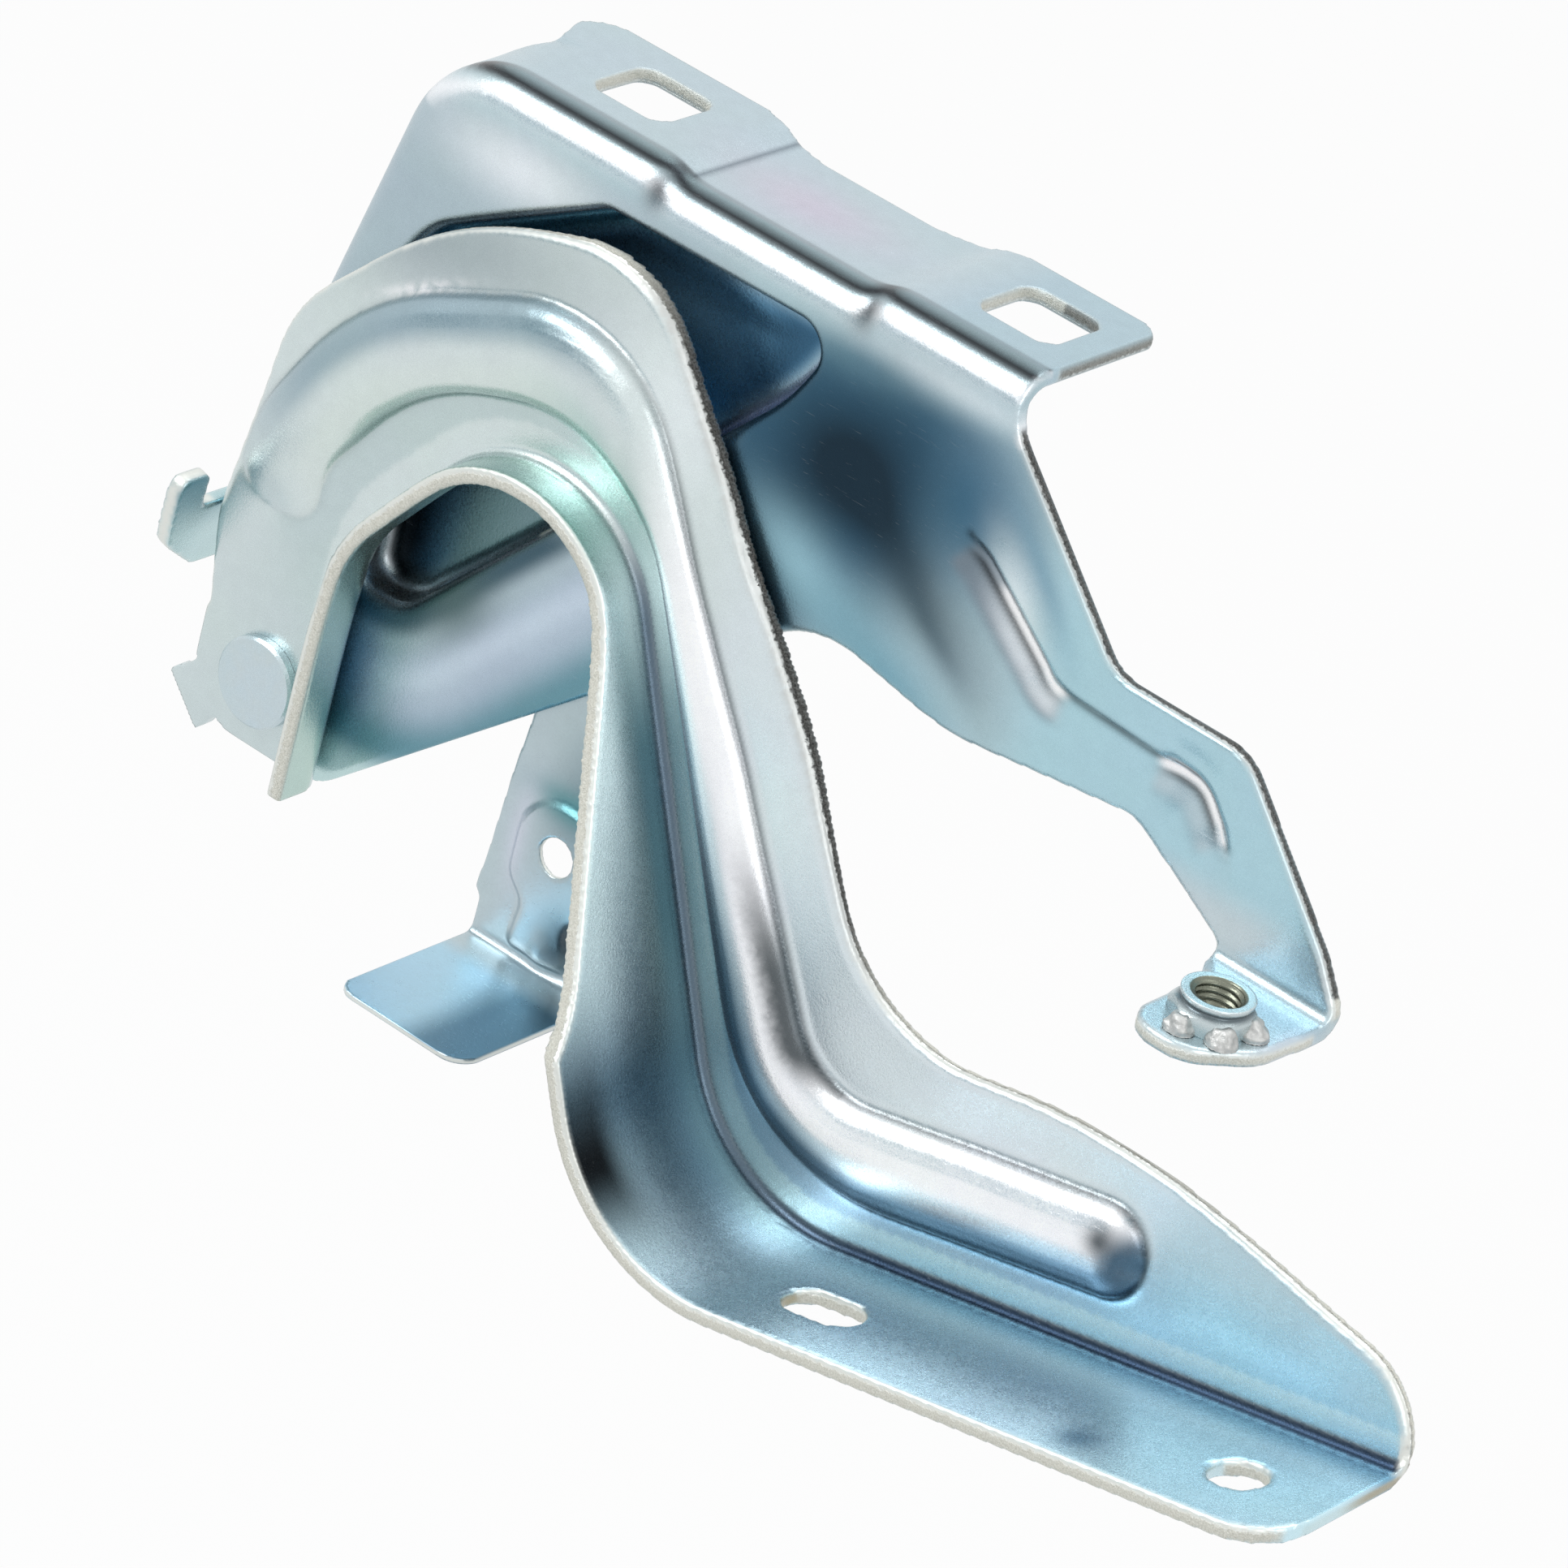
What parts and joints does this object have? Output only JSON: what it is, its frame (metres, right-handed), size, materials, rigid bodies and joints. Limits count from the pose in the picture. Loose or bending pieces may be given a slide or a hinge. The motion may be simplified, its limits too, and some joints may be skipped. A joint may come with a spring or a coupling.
{
  "type": "bonnet hinge",
  "caption": "Pressed steel gooseneck bonnet hinge: flanged hook arm riveted to a drawn body bracket with square-hole flange, stop finger, weld-nut leg and thin support leg.",
  "frame": {"origin": "midway between the two square body holes, in the top plane of the body flange's two pads", "axes": "+X along the hole line towards the bonnet end of the arm, +Y away from the front of the hinge, +Z out of the body flange, up in the picture"},
  "size_m": [0.273, 0.075, 0.1584],
  "materials": {
    "zinc_bracket": "blue-passivated zinc plate, satin, on pressed sheet",
    "zinc_arm": "blue-passivated zinc plate, satin, on pressed sheet",
    "zinc_thin_leg": "blue-passivated zinc plate, satin, on thin sheet",
    "zinc_fastener": "blue-passivated zinc plate, satin",
    "bush_bronze": "plain bronze bearing metal",
    "washer_plastic": "dark sliding plastic",
    "weld_metal": "uneven weld metal under zinc"
  },
  "bodies": {
    "bracket": {"body_bracket": "zinc_bracket", "support_leg": "zinc_thin_leg", "pivot_rivet": "zinc_fastener", "thrust_washer": "washer_plastic", "rivet_washer": "zinc_fastener", "weld_nut": "zinc_fastener", "nut_welds": "weld_metal"},
    "arm": {"hinge_arm": "zinc_arm", "pivot_bush": "bush_bronze"}
  },
  "joints": [
    {"name": "bonnet_pivot", "type": "hinge", "parent": "bracket", "child": "arm", "pos_m": [-0.073, -0.0235, -0.121], "axis": [0, 1, 0], "range_deg": [-2.5, 60]}
  ]
}
